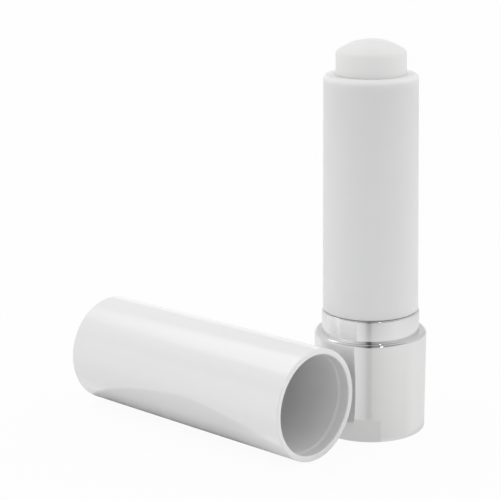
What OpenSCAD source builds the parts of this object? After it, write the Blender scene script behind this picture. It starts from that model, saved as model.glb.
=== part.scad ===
// Twist-up lip balm stick with its pull-off cap lying beside it.
// Millimetres. The origin is the centre of the stick's flat underside, Z points up,
// and the cap lies along X with its mouth towards +X.

/* [Balm] */
// Radius of the balm bullet
balm_r = 6.18; // [5:0.01:8]
// Length of the balm bullet, from the cup's floor to its tip
balm_len = 42.4; // [30:0.05:50]
// Radius of the sphere that its crown is part of
balm_crown_r = 10; // [8:0.5:20]
// Radius of the round edge between its side and its crown
balm_edge_r = 0.9; // [0.3:0.1:1.5]

/* [Cup] */
// Gap between the balm and the cup that holds it
balm_gap = 0.02; // [0.01:0.01:0.05]
// Wall of the cup
cup_wall = 0.30; // [0.25:0.05:0.6]
// Floor of the cup
cup_floor = 0.8; // [0.5:0.1:1.5]
// Height of the cup
cup_h = 9.7; // [7:0.1:14]
// Radius of the ribs inside the cup that bite into the balm
crush_rib_r = 0.25; // [0.15:0.05:0.4]
// Number of ribs inside the cup
crush_rib_n = 6; // [3:1:10]
// Radius of the two lugs that drive the cup
lug_r = 0.9; // [0.6:0.1:1.2]
// Height of the lugs above the underside of the cup
lug_rise = 1.9; // [1.5:0.1:4]

/* [Lift] */
// Full travel of the cup between its two stops
stroke = 31; // [20:0.5:33]
// How far the stick is wound up from its lowest place
raised = 8.5; // [0:0.5:20]
// Rise of the cup in one full turn of the sleeve
lead = 24; // [16:1:36]
// Depth of the helical grooves in the cam sleeve's wall
groove_depth = 0.42; // [0.3:0.02:0.5]

/* [Guide tube] */
// Sliding gap between the cup and the guide tube
cup_gap = 0.08; // [0.05:0.01:0.15]
// Gap beside a lug, and past the tip of a lug
lug_gap = 0.1; // [0.05:0.01:0.2]
// Wall of the guide tube
guide_wall = 0.45; // [0.35:0.05:0.8]
// Thickness of the web that closes the guide tube under the cup
web_t = 1.0; // [0.6:0.1:2]
// Solid land between the foot and the lower end of the slots
slot_land = 0.5; // [0.3:0.05:1]
// Wall of the foot below the web
foot_wall = 0.9; // [0.7:0.05:1.2]
// Height of the knurl ribs round the foot
knurl_h = 0.15; // [0.1:0.05:0.3]
// Number of knurl ribs round the foot
knurl_n = 24; // [12:1:36]

/* [Cam sleeve] */
// Running gap between parts that turn on each other
turn_gap = 0.06; // [0.04:0.01:0.1]
// Wall of the cam sleeve
cam_wall = 0.72; // [0.6:0.02:1]
// How far the cam sleeve's flange stands out of its side
flange_w = 0.3; // [0.2:0.05:0.6]
// Thickness of the cam sleeve's flange
flange_t = 0.8; // [0.5:0.1:1.5]
// Play along the axis between parts that turn on each other
end_play = 0.1; // [0.05:0.01:0.2]

/* [Outer sleeve] */
// Gap between parts that are glued or pressed together
press_gap = 0.02; // [0.01:0.01:0.05]
// Wall of the outer sleeve at its foot
sleeve_foot_wall = 0.72; // [0.5:0.02:1]
// Wall of the outer sleeve at its top
sleeve_top_wall = 0.47; // [0.4:0.01:0.9]
// Thickness of the lip turned in at the top of the outer sleeve
lip_t = 1.0; // [0.6:0.1:1.5]
// Gap between the balm and the lip round it
lip_gap = 0.12; // [0.08:0.01:0.4]
// Radius of the round shoulder at the top of the outer sleeve
sleeve_edge_r = 0.8; // [0.2:0.05:0.9]
// Radius of the lip's edge round the balm
lip_edge_r = 0.3; // [0.1:0.05:0.4]
// How far the tip of the balm sinks below the sleeve when wound down
hood = 2.45; // [1:0.05:5]

/* [Collar] */
// Wall of the collar
collar_wall = 0.58; // [0.5:0.01:1]
// Height of the collar that shows above the base
collar_show = 3.9; // [3:0.1:8]
// Thickness of the shoulder that holds the cam sleeve down
shoulder_t = 1.8; // [1:0.1:3]
// Radius of the collar's top edge
collar_edge_r = 0.3; // [0.1:0.05:0.5]

/* [Base shell] */
// Height of the base shell
base_h = 18.2; // [14:0.1:26]
// Wall of the base shell at its foot
base_foot_wall = 1.07; // [0.8:0.01:1.6]
// Wall of the base shell at its top
base_top_wall = 1.30; // [0.9:0.01:1.8]
// Floor of the base shell
base_floor = 1.2; // [0.8:0.1:2.5]
// Radius of the base shell's foot edge
base_foot_edge_r = 0.3; // [0.1:0.05:0.6]
// Radius of the round rim at the top of the base shell
base_top_edge_r = 0.55; // [0.2:0.05:0.8]

/* [Cap] */
// Gap between the cap's bore and the collar that it slides onto
cap_gap = 0.03; // [0.02:0.01:0.08]
// How much wider the cap's bore is in its mouth
mouth_relief = 0.14; // [0.05:0.01:0.3]
// Depth of the wider part of the bore
mouth_depth = 2.5; // [1.5:0.1:4]
// Wall of the cap at its mouth
cap_mouth_wall = 1.08; // [0.8:0.01:1.6]
// Wall of the cap at its closed end
cap_end_wall = 1.14; // [0.8:0.01:1.6]
// How much the bore narrows towards its closed end
cap_draft = 0.1; // [0.05:0.01:0.2]
// Thickness of the cap's closed end
cap_top_t = 1.3; // [0.8:0.1:2.5]
// Free height above the sleeve when the cap is on
head_room = 4.15; // [2:0.05:8]
// Radius of the inner edge of the cap's mouth
cap_rim_inner_r = 0.3; // [0.1:0.05:0.5]
// Radius of the outer edge of the cap's mouth
cap_rim_outer_r = 0.2; // [0.1:0.05:0.4]
// Radius of the outer edge of the cap's closed end
cap_end_edge_r = 0.5; // [0.2:0.1:1]
// Radius of the inner corner at the bottom of the bore
cap_inner_edge_r = 0.8; // [0.3:0.1:1.2]

/* [Cap beside the stick] */
// Gap between the base shell and the cap that lies beside it
beside_gap = 0.03; // [0.02:0.01:2]
// How far the mouth of the cap lies past the axis of the stick
mouth_x = 4.25; // [-10:0.05:20]

/* [Hidden] */
$fn = 96;
over = 0.5;

// Radii, worked out from the balm outwards
cup_bore_r = balm_r + balm_gap;
cup_r = cup_bore_r + cup_wall;
guide_bore_r = cup_r + cup_gap;
guide_r = guide_bore_r + guide_wall;
cam_bore_r = guide_r + turn_gap;
cam_r = cam_bore_r + cam_wall;
groove_r = cam_bore_r + groove_depth;
flange_r = cam_r + flange_w;
sleeve_bore_r = cam_r + press_gap;
sleeve_foot_r = sleeve_bore_r + sleeve_foot_wall;
sleeve_top_r = sleeve_bore_r + sleeve_top_wall;
lip_r = balm_r + lip_gap;
collar_bore_r = cam_r + turn_gap;
socket_r = flange_r + turn_gap;
collar_r = socket_r + collar_wall;
foot_r = socket_r - press_gap - knurl_h;
foot_bore_r = foot_r - foot_wall;
base_bore_r = collar_r + press_gap;
base_foot_r = base_bore_r + base_foot_wall;
base_top_r = base_bore_r + base_top_wall;
grip_r = collar_r + cap_gap;
mouth_bore_r = grip_r + mouth_relief;
cap_mouth_r = mouth_bore_r + cap_mouth_wall;
cap_end_bore_r = grip_r - cap_draft;
cap_end_r = cap_end_bore_r + cap_end_wall;

// Heights, worked out from the base upwards
collar_top = base_h + collar_show;
socket_top = collar_top - shoulder_t;
flange_top = socket_top - end_play;
cam_foot = flange_top - flange_t;
foot_top = cam_foot - end_play;
slot_foot = foot_top + slot_land;
lug_low = slot_foot + lug_gap + lug_r;
lug_z = lug_low + raised;
lug_high = lug_low + stroke;
slot_head = lug_high + lug_r + lug_gap;
cup_z = lug_z - lug_rise;
web_top = cup_z - raised - 2 * end_play;
balm_z = cup_z + cup_floor;
balm_tip = balm_z + balm_len;
sleeve_top = balm_tip - raised + hood;
lip_under = sleeve_top - lip_t;
cam_top = lip_under - press_gap;
guide_top = cam_top - end_play;
sleeve_foot = collar_top + end_play;
groove_head = lug_high + lug_r + lug_gap;
cap_depth = sleeve_top - base_h + head_room;
cap_len = cap_depth + cap_top_t;
cap_tilt = atan((cap_mouth_r - cap_end_r) / cap_len);

// Points of an arc round c, from angle a to angle b
function arc(c, r, a, b, n = 6) = [
    for (i = [0:n])
        let (angle = a + (b - a) * i / n)
        c + r * [cos(angle), sin(angle)]
];

// Bottom of the base shell closed, its bore open upwards, its wall thicker at the top
module base_shell() {
    color("silver") rotate_extrude() polygon(concat(
        [[0, 0]],
        arc([base_foot_r - base_foot_edge_r, base_foot_edge_r], base_foot_edge_r, -90, 0),
        arc([base_top_r - base_top_edge_r, base_h - base_top_edge_r], base_top_edge_r, 0, 90),
        [[base_bore_r, base_h], [base_bore_r, base_floor], [0, base_floor]]
    ));
}

// Drawn ring pressed into the base shell; its shoulder keeps the cam sleeve in
module collar() {
    color("gainsboro") rotate_extrude() polygon(concat(
        [[socket_r, base_floor], [collar_r, base_floor]],
        arc([collar_r - collar_edge_r, collar_top - collar_edge_r], collar_edge_r, 0, 90),
        [[collar_bore_r, collar_top], [collar_bore_r, socket_top], [socket_r, socket_top]]
    ));
}

// Slot through both walls of the guide tube, with round ends
module guide_slots() {
    slot_r = lug_r + lug_gap;
    for (z = [slot_foot + slot_r, slot_head - slot_r])
        translate([0, 0, z]) rotate([0, 90, 0]) cylinder(h = 2 * guide_r + 2 * over, r = slot_r, center = true);
    translate([-guide_r - over, -slot_r, slot_foot + slot_r])
        cube([2 * guide_r + 2 * over, 2 * slot_r, slot_head - slot_foot - 2 * slot_r]);
}

// Tube with two straight slots; its knurled foot is pressed into the collar
module guide_tube() {
    color("white") {
        difference() {
            rotate_extrude() polygon([
                [foot_bore_r, base_floor], [foot_r, base_floor], [foot_r, foot_top], [guide_r, foot_top],
                [guide_r, guide_top], [guide_bore_r, guide_top], [guide_bore_r, web_top], [0, web_top],
                [0, web_top - web_t], [foot_bore_r, web_top - web_t]
            ]);
            guide_slots();
        }
        for (i = [0:knurl_n - 1])
            rotate([0, 0, 360 * i / knurl_n]) translate([foot_r, 0, base_floor])
                cylinder(h = foot_top - base_floor, r = knurl_h, $fn = 32);
    }
}

// Outline of one groove, seen along the axis, wide enough for a lug crossing it on the slant
module groove_outline() {
    slope = atan(lead / (2 * PI * cam_bore_r));
    half_turn = asin((lug_r + lug_gap) / sin(slope) / cam_bore_r);
    inner_r = cam_bore_r - over;
    polygon(concat(
        arc([0, 0], groove_r, -half_turn, half_turn),
        [inner_r * [cos(half_turn), sin(half_turn)], inner_r * [cos(half_turn), -sin(half_turn)]]
    ));
}

// One helical groove, open at the cam sleeve's foot, at the angle of a lug in the rest pose
module groove(start) {
    foot = cam_foot - over;
    turn_per_mm = 360 / lead;
    degrees = (groove_head - foot) * turn_per_mm;
    translate([0, 0, foot]) rotate([0, 0, start + (lug_z - foot) * turn_per_mm])
        linear_extrude(height = groove_head - foot, twist = degrees, slices = ceil(degrees / 10), $fn = 9)
            groove_outline();
}

// Tube that turns on the guide tube and drives the lugs with two grooves in its bore
module cam_sleeve() {
    color("whitesmoke") difference() {
        rotate_extrude() polygon([
            [cam_bore_r, cam_foot], [flange_r, cam_foot], [flange_r, flange_top], [cam_r, flange_top],
            [cam_r, cam_top], [cam_bore_r, cam_top]
        ]);
        for (start = [0, 180]) groove(start);
    }
}

// Frosted outer tube, glued over the cam sleeve, with a lip turned in at its top
module outer_sleeve() {
    color("ghostwhite") rotate_extrude() polygon(concat(
        [[sleeve_bore_r, sleeve_foot], [sleeve_foot_r, sleeve_foot]],
        arc([sleeve_top_r - sleeve_edge_r, sleeve_top - sleeve_edge_r], sleeve_edge_r, 0, 90),
        arc([lip_r + lip_edge_r, sleeve_top - lip_edge_r], lip_edge_r, 90, 180),
        [[lip_r, lip_under], [sleeve_bore_r, lip_under]]
    ));
}

// Ribs inside the cup, or with a larger radius the grooves that they press into the balm
module crush_ribs(r, top) {
    for (i = [0:crush_rib_n - 1])
        rotate([0, 0, 360 * (i + 0.5) / crush_rib_n]) translate([cup_bore_r, 0, balm_z])
            cylinder(h = top - balm_z, r = r, $fn = 32);
}

// Cup that carries the balm, with a lug on each side
module cup() {
    lug_tip = groove_r - lug_gap;
    rib_top = cup_z + cup_h - cup_wall;
    color("snow") {
        rotate_extrude() polygon([
            [0, cup_z], [cup_r - cup_wall, cup_z], [cup_r, cup_z + cup_wall], [cup_r, cup_z + cup_h],
            [cup_bore_r, cup_z + cup_h], [cup_bore_r, balm_z], [0, balm_z]
        ]);
        intersection() {
            crush_ribs(crush_rib_r, rib_top);
            translate([0, 0, balm_z]) cylinder(h = cup_h, r = cup_bore_r + cup_wall / 2);
        }
        for (side = [0, 180]) rotate([0, 0, side]) translate([cup_bore_r, 0, lug_z])
            rotate([0, 90, 0]) cylinder(h = lug_tip - cup_bore_r, r = lug_r);
    }
}

// Balm bullet with a domed crown, marked by the ribs of the cup
module balm() {
    crown_z = balm_tip - balm_crown_r;
    edge_x = balm_r - balm_edge_r;
    edge_angle = acos(edge_x / (balm_crown_r - balm_edge_r));
    edge_z = crown_z + (balm_crown_r - balm_edge_r) * sin(edge_angle);
    color("white") difference() {
        rotate_extrude() polygon(concat(
            [[0, balm_z], [balm_r, balm_z]],
            arc([edge_x, edge_z], balm_edge_r, 0, edge_angle, 8),
            arc([0, crown_z], balm_crown_r, edge_angle, 90, 10)
        ));
        crush_ribs(crush_rib_r + balm_gap, cup_z + cup_h);
    }
}

// Cap as it stands on its mouth, its closed end up
module cap_upright() {
    corner = cap_end_bore_r - cap_inner_edge_r;
    rotate_extrude() polygon(concat(
        arc([cap_mouth_r - cap_rim_outer_r, cap_rim_outer_r], cap_rim_outer_r, -90, 0),
        arc([cap_end_r - cap_end_edge_r, cap_len - cap_end_edge_r], cap_end_edge_r, 0, 90),
        [[0, cap_len], [0, cap_depth]],
        arc([corner, cap_depth - cap_inner_edge_r], cap_inner_edge_r, 90, 0),
        [[grip_r, mouth_depth], [mouth_bore_r, mouth_depth]],
        arc([mouth_bore_r + cap_rim_inner_r, cap_rim_inner_r], cap_rim_inner_r, 180, 270)
    ));
}

// Cap taken off and laid beside the base, resting along its lowest line
module cap() {
    color("white")
        translate([mouth_x, -base_top_r - beside_gap - cap_mouth_r, cap_mouth_r * cos(cap_tilt)])
            rotate([0, -90 - cap_tilt, 0]) cap_upright();
}

base_shell();
collar();
guide_tube();
cam_sleeve();
outer_sleeve();
cup();
balm();
cap();
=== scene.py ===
"""Looks of a twist-up lip balm stick that stands beside its cap. All lengths are in metres."""

import math

import bpy
from mathutils import Matrix, Vector


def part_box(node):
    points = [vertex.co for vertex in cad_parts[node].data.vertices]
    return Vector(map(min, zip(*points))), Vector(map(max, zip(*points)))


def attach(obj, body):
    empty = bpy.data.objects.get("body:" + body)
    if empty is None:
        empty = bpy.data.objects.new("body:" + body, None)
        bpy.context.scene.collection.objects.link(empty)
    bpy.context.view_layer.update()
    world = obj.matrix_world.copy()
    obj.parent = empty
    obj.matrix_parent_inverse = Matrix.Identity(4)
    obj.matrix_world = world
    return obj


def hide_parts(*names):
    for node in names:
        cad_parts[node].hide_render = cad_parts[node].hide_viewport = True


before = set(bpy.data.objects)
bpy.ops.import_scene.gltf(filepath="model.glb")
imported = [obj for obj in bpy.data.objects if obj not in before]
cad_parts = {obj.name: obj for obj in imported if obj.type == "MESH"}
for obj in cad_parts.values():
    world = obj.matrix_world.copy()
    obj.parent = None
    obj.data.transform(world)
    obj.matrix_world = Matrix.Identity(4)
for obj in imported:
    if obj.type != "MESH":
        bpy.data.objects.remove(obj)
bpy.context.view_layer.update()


# Guide tube, cam sleeve and cup
# The moulded inner parts: a slotted tube, the tube with helical grooves that turns round it,
# and the cup whose lugs join the two. Natural polypropylene, unpolished, straight from the mould.
mm = 0.001


def new_finish(name, **sockets):
    """A material whose Principled shader has these socket values, and its node tree."""
    finish = bpy.data.materials.new(name)
    finish.use_nodes = True
    shader = finish.node_tree.nodes["Principled BSDF"]
    for socket, value in sockets.items():
        shader.inputs[socket.replace("_", " ")].default_value = value
    return finish, finish.node_tree, shader


def place_on_piece(tree, stretch=(1, 1, 1), centre=(0, 0, 0)):
    """Object coordinates, moved to a centre and stretched."""
    where = tree.nodes.new("ShaderNodeTexCoord")
    mapping = tree.nodes.new("ShaderNodeMapping")
    mapping.vector_type = "TEXTURE"
    mapping.inputs["Location"].default_value = centre
    mapping.inputs["Scale"].default_value = stretch
    tree.links.new(where.outputs["Object"], mapping.inputs["Vector"])
    return mapping.outputs["Vector"]


def speckle(tree, size, detail=2.0, stretch=(1, 1, 1)):
    """Noise whose features are about this size."""
    noise = tree.nodes.new("ShaderNodeTexNoise")
    noise.inputs["Scale"].default_value = 1 / size
    noise.inputs["Detail"].default_value = detail
    tree.links.new(place_on_piece(tree, stretch), noise.inputs["Vector"])
    return noise.outputs["Fac"]


def roughen(tree, shader, value, low, high):
    """Lets the shader's roughness follow the value, from low to high."""
    spread = tree.nodes.new("ShaderNodeMapRange")
    spread.inputs["From Min"].default_value = 0.3
    spread.inputs["From Max"].default_value = 0.7
    spread.inputs["To Min"].default_value = low
    spread.inputs["To Max"].default_value = high
    tree.links.new(value, spread.inputs["Value"])
    tree.links.new(spread.outputs["Result"], shader.inputs["Roughness"])


def tint(tree, shader, value, dark, light):
    """Lets the shader's colour follow the value, from dark to light."""
    mix = tree.nodes.new("ShaderNodeMix")
    mix.data_type = "RGBA"
    mix.inputs["A"].default_value = (*dark, 1)
    mix.inputs["B"].default_value = (*light, 1)
    tree.links.new(value, mix.inputs["Factor"])
    tree.links.new(mix.outputs["Result"], shader.inputs["Base Color"])


def relief(tree, shader, layers):
    """Bumps on the shader, each layer a height and its depth in metres."""
    normal = None
    for height, depth in layers:
        bump = tree.nodes.new("ShaderNodeBump")
        bump.inputs["Distance"].default_value = depth
        tree.links.new(height, bump.inputs["Height"])
        if normal is not None:
            tree.links.new(normal, bump.inputs["Normal"])
        normal = bump.outputs["Normal"]
    tree.links.new(normal, shader.inputs["Normal"])


def natural_plastic():
    finish, tree, shader = new_finish("natural_plastic", Roughness=0.45, Subsurface_Weight=0.3,
                                      Subsurface_Radius=(1, 1, 1), Subsurface_Scale=1.0 * mm)
    mottle = speckle(tree, 3 * mm)
    tint(tree, shader, mottle, (0.80, 0.81, 0.81), (0.86, 0.865, 0.865))
    relief(tree, shader, [(speckle(tree, 0.25 * mm), 0.004 * mm)])
    return finish


def dress(node, finish):
    """Gives a CAD node its material."""
    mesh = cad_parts[node].data
    mesh.materials.clear()
    mesh.materials.append(finish)


inner_finish = natural_plastic()
for node in ("guide_tube", "cam_sleeve", "cup"):
    dress(node, inner_finish)


# Collar
# A thin aluminium ring, drawn and polished bright, pressed into the base. Its shoulder holds the
# turning sleeve down, and the cap slides onto it. Drawing leaves faint lines round it.
STEPS_ROUND = 192


def arc(x, z, radius, start, end, steps=8):
    """Points round (x, z), from one angle to another in degrees."""
    angles = [math.radians(start + (end - start) * i / steps) for i in range(steps + 1)]
    return [(x + radius * math.cos(a), z + radius * math.sin(a)) for a in angles]


def held(points, near=0.06 * mm):
    """The closed outline with a point close to both ends of each long side, so that its flats shade flat."""
    outline = []
    for (x0, z0), (x1, z1) in zip(points, points[1:] + points[:1]):
        outline.append((x0, z0))
        length = math.hypot(x1 - x0, z1 - z0)
        if length > 4 * near:
            for share in (near / length, 1 - near / length):
                outline.append((x0 + (x1 - x0) * share, z0 + (z1 - z0) * share))
    return outline


def node_of(tree, kind, inputs=(), **settings):
    """A node with its settings, its inputs linked or set in order of the pairs given."""
    node = tree.nodes.new(kind)
    for key, value in settings.items():
        setattr(node, key, value)
    for key, value in inputs:
        if isinstance(value, bpy.types.NodeSocket):
            tree.links.new(value, node.inputs[key])
        else:
            node.inputs[key].default_value = value
    return node


def turning_tree():
    """Geometry Nodes that turn a closed outline, drawn in X and Z, once round the Z axis."""
    tree = bpy.data.node_groups.new("turned_piece", "GeometryNodeTree")
    for name, kind in (("Outline", "Geometry"), ("Outline points", "Int"), ("Steps round", "Int"),
                       ("Finish", "Material")):
        tree.interface.new_socket(name, in_out="INPUT", socket_type="NodeSocket" + kind)
    tree.interface.new_socket("Piece", in_out="OUTPUT", socket_type="NodeSocketGeometry")
    given = tree.nodes.new("NodeGroupInput").outputs
    rows = node_of(tree, "ShaderNodeMath", [(0, given["Outline points"]), (1, 1)],
                   operation="ADD").outputs[0]
    columns = node_of(tree, "ShaderNodeMath", [(0, given["Steps round"]), (1, 1)],
                      operation="ADD").outputs[0]
    sheet = node_of(tree, "GeometryNodeMeshGrid", [("Vertices X", columns), ("Vertices Y", rows)])
    index = tree.nodes.new("GeometryNodeInputIndex").outputs[0]
    column = node_of(tree, "ShaderNodeMath", [(0, node_of(tree, "ShaderNodeMath", [(0, index), (1, rows)],
                     operation="DIVIDE").outputs[0])], operation="FLOOR").outputs[0]
    row = node_of(tree, "ShaderNodeMath", [(0, index), (1, rows)], operation="MODULO").outputs[0]
    point = node_of(tree, "ShaderNodeMath", [(0, row), (1, given["Outline points"])],
                    operation="MODULO").outputs[0]
    place = tree.nodes.new("GeometryNodeInputPosition").outputs[0]
    taken = node_of(tree, "GeometryNodeSampleIndex", [("Geometry", given["Outline"]), ("Value", place),
                    ("Index", point)], data_type="FLOAT_VECTOR").outputs[0]
    turn = node_of(tree, "ShaderNodeMath", [(0, column), (1, given["Steps round"])],
                   operation="DIVIDE").outputs[0]
    angle = node_of(tree, "ShaderNodeMath", [(0, turn), (1, math.tau)], operation="MULTIPLY").outputs[0]
    turned = node_of(tree, "ShaderNodeVectorRotate", [("Vector", taken), ("Angle", angle)],
                     rotation_type="Z_AXIS").outputs[0]
    shell = node_of(tree, "GeometryNodeSetPosition", [("Geometry", sheet.outputs["Mesh"]),
                    ("Position", turned)]).outputs[0]
    weld = 0.001 * mm
    joined = node_of(tree, "GeometryNodeMergeByDistance", [("Geometry", shell), ("Distance", weld)])
    real = node_of(tree, "GeometryNodeRealizeInstances", [(0, joined.outputs[0])]).outputs[0]
    finished = node_of(tree, "GeometryNodeSetMaterial", [("Geometry", real), ("Material", given["Finish"])])
    tree.links.new(finished.outputs[0], tree.nodes.new("NodeGroupOutput").inputs[0])
    return tree


def set_inputs(modifier, values):
    """Sets a Geometry Nodes modifier's inputs by their names."""
    for item in modifier.node_group.interface.items_tree:
        if item.in_out == "INPUT" and item.name in values:
            modifier[item.identifier] = values[item.name]


def baked(piece, finish):
    """The piece with its modifiers' result as a plain mesh, closed and facing outwards, in one finish."""
    seen = piece.evaluated_get(bpy.context.evaluated_depsgraph_get())
    mesh = bpy.data.meshes.new_from_object(seen)
    piece.modifiers.clear()
    piece.data = mesh
    mesh.materials.clear()
    mesh.materials.append(finish)
    for face in mesh.polygons:
        face.material_index = 0
    corners = [[mesh.vertices[v].co for v in face.vertices] for face in mesh.polygons]
    volume = sum(c[0].dot(c[i].cross(c[i + 1])) for c in corners for i in range(1, len(c) - 1))
    if volume < 0:
        mesh.flip_normals()
    mesh.shade_smooth()
    crease = math.radians(35)
    mesh.set_sharp_from_angle(angle=crease)
    return piece


def turned_piece(name, outline, finish, tree=turning_tree()):
    """A solid turned from a closed outline."""
    points = held(outline)
    ring = [(i, (i + 1) % len(points)) for i in range(len(points))]
    mesh = bpy.data.meshes.new(name)
    mesh.from_pydata([(x, 0, z) for x, z in points], ring, [])
    piece = bpy.data.objects.new(name, mesh)
    bpy.context.scene.collection.objects.link(piece)
    turning = piece.modifiers.new("turning", "NODES")
    turning.node_group = tree
    set_inputs(turning, {"Outline points": len(points), "Steps round": STEPS_ROUND, "Finish": finish})
    return baked(piece, finish)


def polished_metal():
    finish, tree, shader = new_finish("polished_metal", Metallic=1.0)
    streak = speckle(tree, 0.35 * mm, detail=3.0, stretch=(60, 60, 1))
    tint(tree, shader, streak, (0.88, 0.88, 0.88), (0.92, 0.92, 0.92))
    roughen(tree, shader, streak, 0.03, 0.06)
    relief(tree, shader, [(streak, 0.0006 * mm)])
    return finish


collar_low, collar_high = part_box("collar")
cam_sleeve_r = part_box("cam_sleeve")[1].x
collar_r = collar_high.x
socket_gap = 0.06 * mm
socket_r = cam_sleeve_r + socket_gap
collar_bore_r = 7.87 * mm
shoulder_t = 1.8 * mm
collar_edge = 0.3 * mm
collar = turned_piece("collar_ring", [
    (socket_r, collar_low.z), (collar_r, collar_low.z),
    *arc(collar_r - collar_edge, collar_high.z - collar_edge, collar_edge, 0, 90),
    (collar_bore_r, collar_high.z), (collar_bore_r, collar_high.z - shoulder_t),
    (socket_r, collar_high.z - shoulder_t),
], polished_metal())
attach(collar, "base")
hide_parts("collar")


# Base shell
# The part held while twisting: a moulded plastic cup with bright chrome plating, its wall thicker
# at the top. The collar is pressed into it. Plating follows every ripple of the moulding.
def chrome_plating():
    finish, tree, shader = new_finish("chrome_plating", Metallic=1.0)
    cloud = speckle(tree, 5 * mm)
    tint(tree, shader, cloud, (0.885, 0.885, 0.88), (0.91, 0.91, 0.905))
    roughen(tree, shader, speckle(tree, 1.5 * mm), 0.05, 0.08)
    relief(tree, shader, [(speckle(tree, 7 * mm), 0.012 * mm), (speckle(tree, 0.5 * mm), 0.0004 * mm)])
    return finish


shell_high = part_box("base_shell")[1]
base_top_r = shell_high.x
base_h = shell_high.z
base_taper = 0.23 * mm
base_foot_r = base_top_r - base_taper
press_gap = 0.02 * mm
base_bore_r = collar_r + press_gap
base_floor = collar_low.z
foot_edge = 0.3 * mm
top_edge = 0.55 * mm
base = turned_piece("base_cup", [
    (0, 0),
    *arc(base_foot_r - foot_edge, foot_edge, foot_edge, -90, 0),
    *arc(base_top_r - top_edge, base_h - top_edge, top_edge, 0, 90),
    (base_bore_r, base_h), (base_bore_r, base_floor), (0, base_floor),
], chrome_plating())
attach(base, "base")
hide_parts("base_shell")


# Outer sleeve
# A frosted, slightly translucent tube, moulded with a fine spark-eroded grain, tapering upwards.
# It is glued over the cam sleeve, and its lip is turned in round the balm.
def frosted_plastic():
    finish, tree, shader = new_finish("frosted_plastic", Subsurface_Weight=0.55, IOR=1.49,
                                      Subsurface_Radius=(1, 1, 1), Subsurface_Scale=2.2 * mm,
                                      Sheen_Weight=0.12, Specular_IOR_Level=0.5)
    haze = speckle(tree, 9 * mm)
    tint(tree, shader, haze, (0.88, 0.883, 0.883), (0.9, 0.903, 0.903))
    roughen(tree, shader, speckle(tree, 2 * mm), 0.42, 0.5)
    relief(tree, shader, [(speckle(tree, 0.12 * mm, detail=4.0), 0.003 * mm)])
    return finish


tube_low, tube_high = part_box("outer_sleeve")
balm_low, balm_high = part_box("balm")
balm_r = balm_high.x
sleeve_foot_r = tube_high.x
sleeve_taper = 0.25 * mm
sleeve_top_r = sleeve_foot_r - sleeve_taper
sleeve_bore_r = 7.83 * mm
lip_gap = 0.02 * mm
lip_r = balm_r + lip_gap
lip_t = 1.0 * mm
sleeve_edge = 0.8 * mm
lip_edge = 0.08 * mm
foot_corner = 0.08 * mm
sleeve = turned_piece("frosted_sleeve", [
    (sleeve_bore_r, tube_low.z),
    *arc(sleeve_foot_r - foot_corner, tube_low.z + foot_corner, foot_corner, -90, 0, 4),
    *arc(sleeve_top_r - sleeve_edge, tube_high.z - sleeve_edge, sleeve_edge, 0, 90),
    *arc(lip_r + lip_edge, tube_high.z - lip_edge, lip_edge, 90, 180),
    (lip_r, tube_high.z - lip_t), (sleeve_bore_r, tube_high.z - lip_t),
], frosted_plastic())
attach(sleeve, "sleeve")
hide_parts("outer_sleeve")


# Balm
# The bullet of white wax and oils, cast in a domed mould and pressed into the cup, whose ribs leave
# six grooves in it. Its skin has a dull sheen, with shallow cooling waves and a few pits.
def balm_wax():
    finish, tree, shader = new_finish("balm_wax", Subsurface_Weight=0.35, Subsurface_Radius=(1, 0.95, 0.9),
                                      Subsurface_Scale=2.0 * mm, IOR=1.44)
    cloud = speckle(tree, 4 * mm)
    tint(tree, shader, cloud, (0.815, 0.815, 0.81), (0.835, 0.835, 0.83))
    roughen(tree, shader, speckle(tree, 1 * mm, detail=3.0), 0.32, 0.46)
    relief(tree, shader, [(speckle(tree, 3 * mm), 0.03 * mm), (speckle(tree, 0.4 * mm), 0.004 * mm)])
    return finish


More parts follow.
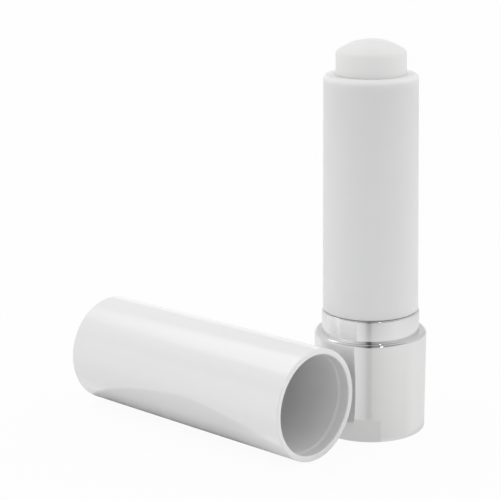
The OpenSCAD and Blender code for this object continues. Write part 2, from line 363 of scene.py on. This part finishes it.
def groove_tree():
    """Geometry Nodes that cut evenly spaced upright grooves round the Z axis."""
    tree = bpy.data.node_groups.new("crush_grooves", "GeometryNodeTree")
    for name, kind in (("Piece", "Geometry"), ("Grooves", "Int"), ("Groove radius", "Float"),
                       ("Circle radius", "Float"), ("Bottom", "Float"), ("Top", "Float"),
                       ("Finish", "Material")):
        tree.interface.new_socket(name, in_out="INPUT", socket_type="NodeSocket" + kind)
    tree.interface.new_socket("Grooved piece", in_out="OUTPUT", socket_type="NodeSocketGeometry")
    given = tree.nodes.new("NodeGroupInput").outputs
    circle = node_of(tree, "GeometryNodeMeshCircle", [("Vertices", given["Grooves"]),
                     ("Radius", given["Circle radius"])]).outputs[0]
    half_step = node_of(tree, "ShaderNodeMath", [(0, math.pi), (1, given["Grooves"])],
                        operation="DIVIDE").outputs[0]
    turned = node_of(tree, "ShaderNodeVectorRotate", [
        ("Vector", tree.nodes.new("GeometryNodeInputPosition").outputs[0]), ("Angle", half_step)],
        rotation_type="Z_AXIS").outputs[0]
    length = node_of(tree, "ShaderNodeMath", [(0, given["Top"]), (1, given["Bottom"])],
                     operation="SUBTRACT").outputs[0]
    half_length = node_of(tree, "ShaderNodeMath", [(0, length), (1, 2)], operation="DIVIDE").outputs[0]
    middle = node_of(tree, "ShaderNodeMath", [(0, given["Bottom"]), (1, half_length)]).outputs[0]
    raised = node_of(tree, "ShaderNodeCombineXYZ", [("Z", middle)]).outputs[0]
    placed = node_of(tree, "GeometryNodeSetPosition", [("Geometry", circle), ("Position", turned),
                     ("Offset", raised)]).outputs[0]
    pin_sides = 24
    pin = node_of(tree, "GeometryNodeMeshCylinder", [("Vertices", pin_sides), ("Depth", length),
                  ("Radius", given["Groove radius"])]).outputs["Mesh"]
    pins = node_of(tree, "GeometryNodeInstanceOnPoints", [("Points", placed), ("Instance", pin)]).outputs[0]
    real = node_of(tree, "GeometryNodeRealizeInstances", [(0, pins)]).outputs[0]
    cut = node_of(tree, "GeometryNodeMeshBoolean", [("Mesh 1", given["Piece"]), ("Mesh 2", real)],
                  operation="DIFFERENCE", solver="EXACT").outputs["Mesh"]
    whole = node_of(tree, "GeometryNodeRealizeInstances", [(0, cut)]).outputs[0]
    finished = node_of(tree, "GeometryNodeSetMaterial", [("Geometry", whole), ("Material", given["Finish"])])
    tree.links.new(finished.outputs[0], tree.nodes.new("NodeGroupOutput").inputs[0])
    return tree


crown_r = 10 * mm
balm_edge = 0.9 * mm
crown_z = balm_high.z - crown_r
edge_angle = math.degrees(math.acos((balm_r - balm_edge) / (crown_r - balm_edge)))
edge_z = crown_z + (crown_r - balm_edge) * math.sin(math.radians(edge_angle))
cup_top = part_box("cup")[1].z
plain_from = cup_top + 1 * mm
balm_finish = balm_wax()
balm = turned_piece("balm_bullet", [
    (0, balm_low.z), (balm_r, balm_low.z), (balm_r, plain_from),
    *arc(balm_r - balm_edge, edge_z, balm_edge, 0, edge_angle, 10),
    *arc(0, crown_z, crown_r, edge_angle, 90, 16)[1:],
], balm_finish)
crush_ribs = 6
crush_rib_r = 0.25 * mm
balm_gap = 0.02 * mm
run_out = 0.1 * mm
grooving = balm.modifiers.new("grooving", "NODES")
grooving.node_group = groove_tree()
set_inputs(grooving, {"Grooves": crush_ribs, "Groove radius": crush_rib_r + balm_gap,
                      "Circle radius": balm_r + balm_gap, "Bottom": balm_low.z - run_out,
                      "Top": cup_top, "Finish": balm_finish})
balm = baked(balm, balm_finish)
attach(balm, "carrier")
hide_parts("balm")


# Cap
# A glossy white moulding in one piece, taken off and lying on its side against the base. Its bore
# is a little wider in the mouth. The outside is polished, and the bore is as the core pin left it,
# its white painted a little darker as shade in the deep bore.
def gloss_white():
    finish, tree, shader = new_finish("gloss_white", IOR=1.75)
    cloud = speckle(tree, 12 * mm)
    tint(tree, shader, cloud, (0.855, 0.855, 0.855), (0.875, 0.875, 0.875))
    roughen(tree, shader, speckle(tree, 2 * mm), 0.05, 0.08)
    relief(tree, shader, [(speckle(tree, 9 * mm), 0.012 * mm)])
    return finish


# The bore's rougher finish is real; its slightly darker white is painted shade.
def shaded_core_white():
    finish, tree, shader = new_finish("shaded_core_white", IOR=1.5)
    drag = speckle(tree, 0.6 * mm, stretch=(20, 1, 1))
    tint(tree, shader, drag, (0.81, 0.81, 0.815), (0.84, 0.84, 0.845))
    roughen(tree, shader, drag, 0.3, 0.4)
    relief(tree, shader, [(drag, 0.003 * mm)])
    return finish


cap_low, cap_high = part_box("cap")
cap_mouth_r = (cap_high.y - cap_low.y) / 2
cap_taper = 0.18 * mm
cap_end_r = cap_mouth_r - cap_taper
end_edge = 0.5 * mm
cap_tilt = math.atan((cap_mouth_r - cap_end_r) / (cap_high.x - cap_low.x))
leaning = math.sin(cap_tilt)
cap_len = cap_high.x - cap_low.x - (cap_mouth_r + cap_end_r - end_edge) * leaning
grip_gap = 0.03 * mm
grip_r = collar_r + grip_gap
mouth_relief = 0.14 * mm
mouth_bore_r = grip_r + mouth_relief
mouth_depth = 2.5 * mm
lead_in = 0.6 * mm
bore_taper = 0.1 * mm
end_bore_r = grip_r - bore_taper
end_wall = 1.3 * mm
cap_depth = cap_len - end_wall
rim_outer = 0.2 * mm
rim_inner = 0.3 * mm
bore_corner = 0.8 * mm
cap = turned_piece("gloss_cap", [
    *arc(cap_mouth_r - rim_outer, rim_outer, rim_outer, -90, 0),
    *arc(cap_end_r - end_edge, cap_len - end_edge, end_edge, 0, 90),
    (0, cap_len), (0, cap_depth),
    *arc(end_bore_r - bore_corner, cap_depth - bore_corner, bore_corner, 90, 0),
    (grip_r, mouth_depth), (mouth_bore_r, mouth_depth - lead_in),
    *arc(mouth_bore_r + rim_inner, rim_inner, rim_inner, 180, 270),
], gloss_white())
cap.data.materials.append(shaded_core_white())
bore_margin = 0.05 * mm
floor_margin = 0.01 * mm
for face in cap.data.polygons:
    reach = math.hypot(face.center.x, face.center.y)
    in_bore = reach < mouth_bore_r + bore_margin and face.center.z < cap_depth + floor_margin
    face.material_index = 1 if in_bore else 0
laid_down = Matrix.Rotation(-math.pi / 2 - cap_tilt, 4, "Y")
mouth_centre = Vector((cap_high.x - (cap_mouth_r - rim_outer) * leaning, (cap_low.y + cap_high.y) / 2,
                       cap_mouth_r * math.cos(cap_tilt)))
cap.data.transform(Matrix.Translation(mouth_centre) @ laid_down)
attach(cap, "base")
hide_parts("cap")


# Camera
# The photograph's own view, found by fitting the outlines of the stick and the cap.
azimuth = math.radians(42.977)
elevation = math.radians(14.962)
roll = math.radians(-0.888)
distance = 323.214 * mm
aim_right = -21.984 * mm
aim_up = 31.703 * mm
back = Vector((math.sin(azimuth) * math.cos(elevation), -math.cos(azimuth) * math.cos(elevation),
               math.sin(elevation)))
level_right = Vector((math.cos(azimuth), math.sin(azimuth), 0))
level_up = back.cross(level_right)
camera_right = math.cos(roll) * level_right + math.sin(roll) * level_up
camera_up = -math.sin(roll) * level_right + math.cos(roll) * level_up
lens = bpy.data.cameras.new("camera")
lens.sensor_width = 36
lens.lens = 127.14
lens.clip_start = 0.01
camera = bpy.data.objects.new("camera", lens)
facing = Matrix((camera_right, camera_up, back)).transposed().to_4x4()
camera.matrix_world = Matrix.Translation(
    back * distance + camera_right * aim_right + camera_up * aim_up) @ facing
bpy.context.scene.collection.objects.link(camera)
bpy.context.scene.camera = camera


# Studio
# A white floor in a white tent, with soft light from all round, less from the camera's side. Gloss
# and metal also mirror the tent's dim open front and a bright panel at its left back, and see painted
# shadows on the floor: before the cap, round the base's foot and before the base.
def levels(tree, value, low, high, stops):
    """A level read from stops, each a value between low and high and its level."""
    spread = node_of(tree, "ShaderNodeMapRange", [("Value", value), ("From Min", low), ("From Max", high)])
    ramp = tree.nodes.new("ShaderNodeValToRGB")
    while len(ramp.color_ramp.elements) < len(stops):
        ramp.color_ramp.elements.new(0.5)
    for element, (place, level) in zip(ramp.color_ramp.elements, stops):
        element.position = (place - low) / (high - low)
        element.color = (level, level, level, 1)
    tree.links.new(spread.outputs[0], ramp.inputs[0])
    return ramp.outputs["Color"]


def by_bearing(tree, bearing, stops):
    """A level read from stops, each a bearing from the camera's side in degrees and its level."""
    return levels(tree, bearing, -math.pi, math.pi, [(math.radians(a), level) for a, level in stops])


def by_rise(tree, height, stops):
    """A level read from stops, each a rise above the floor in degrees and its level."""
    return levels(tree, height, 0, 1, [(math.sin(math.radians(e)), level) for e, level in stops])


def times(tree, one, other):
    """The product of two values."""
    return node_of(tree, "ShaderNodeMath", [(0, one), (1, other)], operation="MULTIPLY").outputs[0]


def larger(tree, one, other):
    """The larger of two values."""
    return node_of(tree, "ShaderNodeMath", [(0, one), (1, other)], operation="MAXIMUM").outputs[0]


def rest_of(tree, value):
    """One less the value."""
    return node_of(tree, "ShaderNodeMath", [(0, 1.0), (1, value)], operation="SUBTRACT").outputs[0]


def blended(tree, share, one, other):
    """The first value at a share of nothing, and the other at a share of one."""
    return node_of(tree, "ShaderNodeMix", [("Factor", share), ("A", one), ("B", other)],
                   data_type="FLOAT").outputs[0]


def tent():
    """The world: what lights the object, what gloss and metal mirror, and the white that is seen."""
    world = bpy.data.worlds.new("tent")
    world.use_nodes = True
    tree = world.node_tree
    background = tree.nodes["Background"]
    towards = tree.nodes.new("ShaderNodeTexCoord").outputs["Generated"]
    front = Vector((math.sin(azimuth), -math.cos(azimuth), 0))
    ahead = node_of(tree, "ShaderNodeVectorMath", [(0, towards), (1, front)], operation="DOT_PRODUCT")
    aside = node_of(tree, "ShaderNodeVectorMath", [(0, towards), (1, level_right)],
                    operation="DOT_PRODUCT")
    bearing = node_of(tree, "ShaderNodeMath", [(0, aside.outputs["Value"]), (1, ahead.outputs["Value"])],
                      operation="ARCTAN2").outputs[0]
    height = node_of(tree, "ShaderNodeSeparateXYZ", [(0, towards)]).outputs["Z"]

    low_light = 1.3
    high_light = 1.13
    around = by_bearing(tree, bearing, (
        (-180, 0.86), (-140, 0.96), (-100, 1.0), (-80, 1.0), (-45, 0.635), (0, 0.45), (45, 0.635),
        (80, 1.0), (100, 1.02), (140, 1.0), (180, 0.86)))
    overhead = by_rise(tree, height, ((0, 0), (35, 0), (60, 1), (90, 1)))
    soft = times(tree, around, blended(tree, overhead, low_light, high_light))

    walls = by_bearing(tree, bearing, (
        (-180, 0.7), (-120, 0.7), (-90, 0.82), (-72, 1.0), (-50, 0.9), (-25, 0.62), (-17, 0.45),
        (-12, 0.24), (-9, 0.12), (-5, 0.12), (-2, 0.19), (1, 0.38), (12, 0.48), (27, 0.58), (61, 0.755),
        (103, 0.65), (150, 0.6), (180, 0.65)))
    dim_band = by_rise(tree, height, ((0, 1.0), (16, 1.0), (24, 0.5), (90, 0.5)))
    at_front = by_bearing(tree, bearing, ((-180, 0), (-106, 0), (-82, 1), (70, 1), (100, 0), (180, 0)))
    above_front = blended(tree, at_front, 1.0, dim_band)
    behind = by_bearing(tree, bearing, ((-180, 1), (-170, 1), (-150, 0), (150, 0), (170, 1), (180, 1)))
    low_down = by_rise(tree, height, ((0, 1), (10, 1), (17, 0), (90, 0)))
    panel_light = 1.6
    panel_bearing = by_bearing(tree, bearing, ((-180, 0), (-175, 1), (-114, 1), (-104, 0), (180, 0)))
    panel_rise = by_rise(tree, height, ((0, 0), (40, 0), (47, 1), (50, 1), (54, 0), (90, 0)))
    mirrored = blended(tree, times(tree, behind, low_down), times(tree, walls, above_front), 1.0)
    mirrored = blended(tree, times(tree, panel_bearing, panel_rise), mirrored, panel_light)

    path = tree.nodes.new("ShaderNodeLightPath").outputs
    bounced = larger(tree, path["Is Glossy Ray"], path["Is Transmission Ray"])
    strength = blended(tree, path["Is Camera Ray"], blended(tree, bounced, soft, mirrored), 1.0)
    tree.links.new(strength, background.inputs["Strength"])
    background.inputs["Color"].default_value = (1, 1, 1, 1)
    bpy.context.scene.world = world


def reach_along(tree, place, x_share, y_share):
    """How far a point of the floor lies in the direction with these shares of X and Y."""
    return node_of(tree, "ShaderNodeMath", [(0, times(tree, place["X"], x_share)),
                   (1, times(tree, place["Y"], y_share))], operation="ADD").outputs[0]


def fading(tree, value, full, none):
    """One up to the first limit, falling to nothing at the second."""
    return node_of(tree, "ShaderNodeMapRange", [("Value", value), ("From Min", full), ("From Max", none),
                   ("To Min", 1.0), ("To Max", 0.0)]).outputs[0]


def floor_finish():
    """White where it is seen, with a shadow that stays, and in mirrors with the tent's gloss and painted
    shadows in it.
    """
    floor_white = 0.8
    finish, tree, shader = new_finish("white_floor", Roughness=0.6)
    shader.inputs["Base Color"].default_value = (floor_white, floor_white, floor_white, 1)
    shader.inputs["Specular IOR Level"].default_value = 0.0
    path = tree.nodes.new("ShaderNodeLightPath").outputs
    bounced = larger(tree, path["Is Glossy Ray"], path["Is Transmission Ray"])
    place = node_of(tree, "ShaderNodeSeparateXYZ", [(0, place_on_piece(tree))]).outputs
    away = node_of(tree, "ShaderNodeVectorMath", [(0, place_on_piece(tree))],
                   operation="LENGTH").outputs["Value"]

    # Painted shadow on the floor before the cap, darkening only what gloss and metal mirror.
    painted_cap_shadow_dim = 0.75
    painted_cap_shadow_edges = (
        (0.424, -0.905, 25.8 * mm, 0.6 * mm), (-0.776, -0.63, 53.3 * mm, 0.6 * mm),
        (1, 0, -4 * mm, 8 * mm), (0, 1, -20 * mm, 4 * mm))
    painted_cap_shadow = 1.0
    for x_share, y_share, edge, blur in painted_cap_shadow_edges:
        painted_cap_shadow = times(tree, painted_cap_shadow, fading(tree, reach_along(tree, place, x_share, y_share), edge - blur,
                                        edge + blur))
    # Painted shadow in a ring round the base's foot, darkening only what gloss and metal mirror.
    painted_foot_shadow_dim = 0.22
    painted_foot_shadow = fading(tree, away, 10.9 * mm, 11.5 * mm)
    # Painted shadow on the floor before the base, darkening only what gloss and metal mirror.
    painted_front_shadow_dim = 0.36
    painted_front_shadow_side = reach_along(tree, place, 0.505, 0.863)
    sheet = times(tree, fading(tree, away, 20.0 * mm, 20.8 * mm),
                  fading(tree, painted_front_shadow_side, -1.7 * mm, -1.2 * mm))
    # All painted shadows together, for gloss and metal rays only.
    painted_shadows = larger(tree, times(tree, painted_cap_shadow, painted_cap_shadow_dim), larger(tree, times(tree, painted_foot_shadow, painted_foot_shadow_dim),
                                                              times(tree, sheet, painted_front_shadow_dim)))

    seen_white = 0.94
    mirrored_white = 0.8
    white = node_of(tree, "ShaderNodeEmission", [("Color", (1, 1, 1, 1)), ("Strength", 1.0)]).outputs[0]
    share = larger(tree, times(tree, path["Is Camera Ray"], seen_white),
                   times(tree, bounced, mirrored_white))
    lit = node_of(tree, "ShaderNodeMixShader", [(0, share), (1, shader.outputs[0]), (2, white)])
    gloss = node_of(tree, "ShaderNodeBsdfGlossy", [("Color", (1, 1, 1, 1)), ("Roughness", 0.03)]).outputs[0]
    gloss_near = 0.46
    gloss_far = 0.65
    gloss_share = node_of(tree, "ShaderNodeMapRange", [
        ("Value", away), ("From Min", 65 * mm), ("From Max", 80 * mm), ("To Min", gloss_near),
        ("To Max", gloss_far)]).outputs[0]
    # Where the painted shadows round and before the base lie, the floor mirrors nothing.
    open_floor = rest_of(tree, larger(tree, painted_foot_shadow, sheet))
    mirroring = times(tree, times(tree, gloss_share, open_floor), bounced)
    both = node_of(tree, "ShaderNodeMixShader", [(0, mirroring), (1, lit.outputs[0]), (2, gloss)])
    dark = node_of(tree, "ShaderNodeEmission", [("Color", (0, 0, 0, 1)), ("Strength", 0.0)]).outputs[0]
    # Gloss and metal rays see the floor darkened by the painted shadows.
    light_left = rest_of(tree, times(tree, painted_shadows, bounced))
    shaded = node_of(tree, "ShaderNodeMixShader", [(0, light_left), (1, dark), (2, both.outputs[0])])
    tree.links.new(shaded.outputs[0], tree.nodes["Material Output"].inputs["Surface"])
    return finish


def studio_floor():
    """A flat round floor, wide enough to fill the picture."""
    reach = 3.0
    corners = 64
    mesh = bpy.data.meshes.new("floor")
    ring = [(reach * math.cos(math.tau * i / corners), reach * math.sin(math.tau * i / corners), 0)
            for i in range(corners)]
    mesh.from_pydata(ring, [], [range(corners)])
    mesh.materials.append(floor_finish())
    floor = bpy.data.objects.new("floor", mesh)
    bpy.context.scene.collection.objects.link(floor)


def lamp_panel(name, bearing, rise, away, width, height, radiance):
    """A flat lamp that faces the object, at a bearing from the camera's side and a rise, in degrees."""
    light = bpy.data.lights.new(name, "AREA")
    light.shape = "RECTANGLE"
    light.size = width
    light.size_y = height
    light.energy = radiance * math.pi * width * height
    turn = azimuth + math.radians(bearing)
    reach = math.cos(math.radians(rise)) * away
    holder = bpy.data.objects.new(name, light)
    holder.location = (reach * math.sin(turn), -reach * math.cos(turn),
                       math.sin(math.radians(rise)) * away)
    holder.rotation_euler = (-holder.location).to_track_quat("-Z", "Y").to_euler()
    bpy.context.scene.collection.objects.link(holder)


tent()
studio_floor()
lamp_panel("front_lamp", bearing=20, rise=29, away=1.2, width=0.1, height=0.1, radiance=12)
bpy.context.scene.view_settings.view_transform = "Standard"
